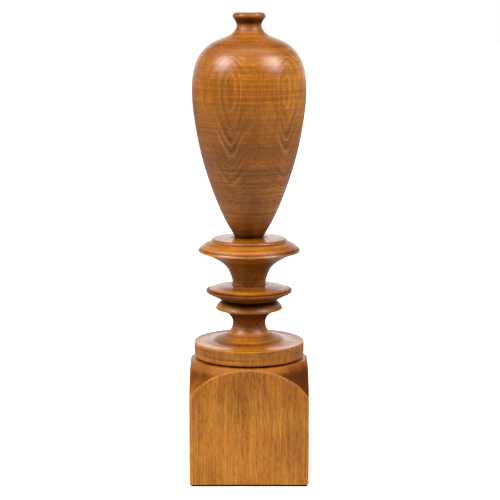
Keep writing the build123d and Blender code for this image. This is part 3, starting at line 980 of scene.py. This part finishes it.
def studio_world():
    """White to the camera; to all else a bright sweep low behind the piece in a dim room."""
    world = bpy.data.worlds.new("studio")
    world.use_nodes = True
    g = Graph.over(world.node_tree)
    direction = g.split(g.node("ShaderNodeTexCoord", output=0))
    behind = g.ramp(direction[1], -0.25, 0.5)
    low = g.ramp(direction[2], 0.60, 0.15, 0.10, 1.0)
    sweep = g.math("MULTIPLY", behind, low)
    strength = g.math("MULTIPLY_ADD", sweep, WORLD_BEHIND, WORLD_FRONT)
    straight = g.ramp(direction[1], 0.70, 0.93)
    backdrop = g.math("MULTIPLY", straight, g.ramp(direction[2], 0.58, 0.30))
    strength = g.math("MULTIPLY_ADD", backdrop, WORLD_STRAIGHT_BEHIND, strength)
    ceiling = g.math("MULTIPLY", g.ramp(direction[2], 0.50, 1.0), g.ramp(direction[1], 0.45, 0.0))
    strength = g.math("MULTIPLY_ADD", ceiling, WORLD_CEILING, strength)
    room = g.node("ShaderNodeBackground", {"Color": (1, 1, 1, 1), "Strength": strength})
    white = g.node("ShaderNodeBackground", {"Color": (1, 1, 1, 1), "Strength": 1.0})
    seen = g.node("ShaderNodeLightPath", output=0)
    mixed = g.node("ShaderNodeMixShader", {0: seen, 1: room, 2: white})
    output = g.tree.nodes.new("ShaderNodeOutputWorld")
    g.tree.links.new(mixed, output.inputs[0])
    bpy.context.scene.world = world


def softbox(name, location, target, size, power):
    """A square light that fades from its middle to its edges."""
    data = bpy.data.lights.new(name, "AREA")
    data.shape = "SQUARE"
    data.size = size
    data.energy = power
    data.use_nodes = True
    g = Graph.over(data.node_tree)
    place = g.vector("SUBTRACT", g.node("ShaderNodeNewGeometry", output=5), (0.5, 0.5, 0.0))
    flat = g.vector("MULTIPLY", place, (1.0, 1.0, 0.0))
    from_middle = g.node("ShaderNodeVectorMath", {0: flat}, output=1, operation="LENGTH")
    fading = g.ramp(from_middle, 0.52, 0.12, 0.0, 1.0)
    glow = g.node("ShaderNodeEmission", {"Color": (1, 1, 1, 1), "Strength": fading})
    output = g.tree.nodes.new("ShaderNodeOutputLight")
    g.tree.links.new(glow, output.inputs[0])
    light = bpy.data.objects.new(name, data)
    light.location = location
    direction = Vector(target) - Vector(location)
    light.rotation_euler = direction.to_track_quat("-Z", "Y").to_euler()
    bpy.context.scene.collection.objects.link(light)
    return light


def pale_floor():
    """A wide pale floor that the camera sees as white with a soft shadow, and that bounces little light."""
    g = Graph("pale_floor")
    path = g.node("ShaderNodeLightPath", output=0)
    seen = g.node("ShaderNodeBsdfDiffuse", {"Color": (0.9, 0.9, 0.9, 1)})
    glow = g.node("ShaderNodeEmission", {"Color": (1, 1, 1, 1), "Strength": 0.92})
    bright = g.node("ShaderNodeAddShader", {0: seen, 1: glow})
    bounce = g.node("ShaderNodeBsdfDiffuse", {"Color": (0.34, 0.34, 0.34, 1)})
    mixed = g.node("ShaderNodeMixShader", {0: path, 1: bounce, 2: bright})
    output = g.tree.nodes.new("ShaderNodeOutputMaterial")
    g.tree.links.new(mixed, output.inputs[0])
    mesh = bpy.data.meshes.new("floor")
    reach = 12.0
    mesh.from_pydata(
        [(-reach, -reach, 0), (reach, -reach, 0), (reach, reach, 0), (-reach, reach, 0)],
        [],
        [(0, 1, 2, 3)],
    )
    mesh.materials.append(g.material)
    floor = bpy.data.objects.new("floor", mesh)
    floor.location.z = cad_box[0].z
    bpy.context.scene.collection.objects.link(floor)


studio_world()
pale_floor()
middle = (cad_box[0] + cad_box[1]) / 2
SOFTBOX_DISTANCE = 2.2
SOFTBOX_SIZE = 1.7
for name, azimuth, elevation, power in (
    ("soft_left", -64, 42, 129),
    ("soft_right", 62, 43, 117),
):
    aim = Vector((0, 0, middle.z))
    across, up = math.radians(azimuth), math.radians(elevation)
    direction = Vector((math.sin(across) * math.cos(up), -math.cos(across) * math.cos(up), math.sin(up)))
    softbox(name, aim + SOFTBOX_DISTANCE * direction, aim, SOFTBOX_SIZE, power)

camera_data = bpy.data.cameras.new("camera")
camera_data.lens = CAMERA_LENS
camera_data.sensor_width = CAMERA_SENSOR
camera = bpy.data.objects.new("camera", camera_data)
camera.location = (CAMERA_SIDE, -CAMERA_DISTANCE, CAMERA_HEIGHT)
camera.rotation_euler = (math.pi / 2 - CAMERA_PITCH, 0, 0)
bpy.context.scene.collection.objects.link(camera)
bpy.context.scene.camera = camera
bpy.context.scene.view_settings.view_transform = "Standard"
